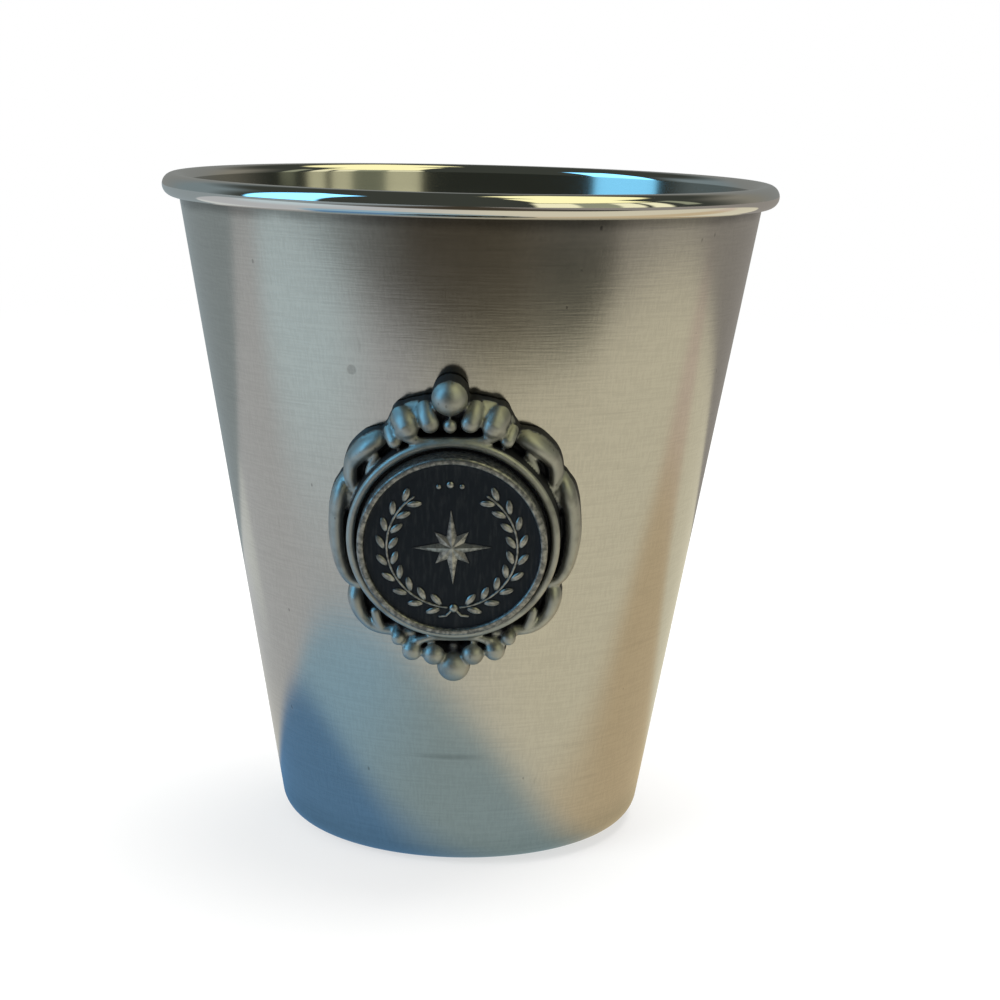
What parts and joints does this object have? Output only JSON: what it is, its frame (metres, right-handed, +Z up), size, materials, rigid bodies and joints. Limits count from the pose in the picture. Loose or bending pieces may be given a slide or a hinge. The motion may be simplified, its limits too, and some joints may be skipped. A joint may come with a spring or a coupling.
{
  "type": "shot glass",
  "caption": "Tapered brushed-metal shot glass with a rolled rim, rounded foot and an antiqued scroll-framed medallion bonded to the front of its wall.",
  "frame": {"origin": "centre of the flat foot ring, on the surface that the cup stands on", "axes": "+Z up along the cup's axis, -Y out through the emblem on the front, +X to the viewer's right"},
  "size_m": [0.05, 0.0505, 0.0535],
  "materials": {
    "brushed_metal": "circumferential brushing, polished rim",
    "antiqued_metal": "satin cast metal with blackened recesses",
    "blackened_metal": "blackened ground with bright raised parts",
    "adhesive": "cured clear resin"
  },
  "bodies": {
    "root": {"cup_shell": "brushed_metal", "emblem_adhesive": "adhesive", "emblem_frame": "antiqued_metal", "disc_adhesive": "adhesive", "emblem_disc": "blackened_metal"}
  },
  "joints": []
}
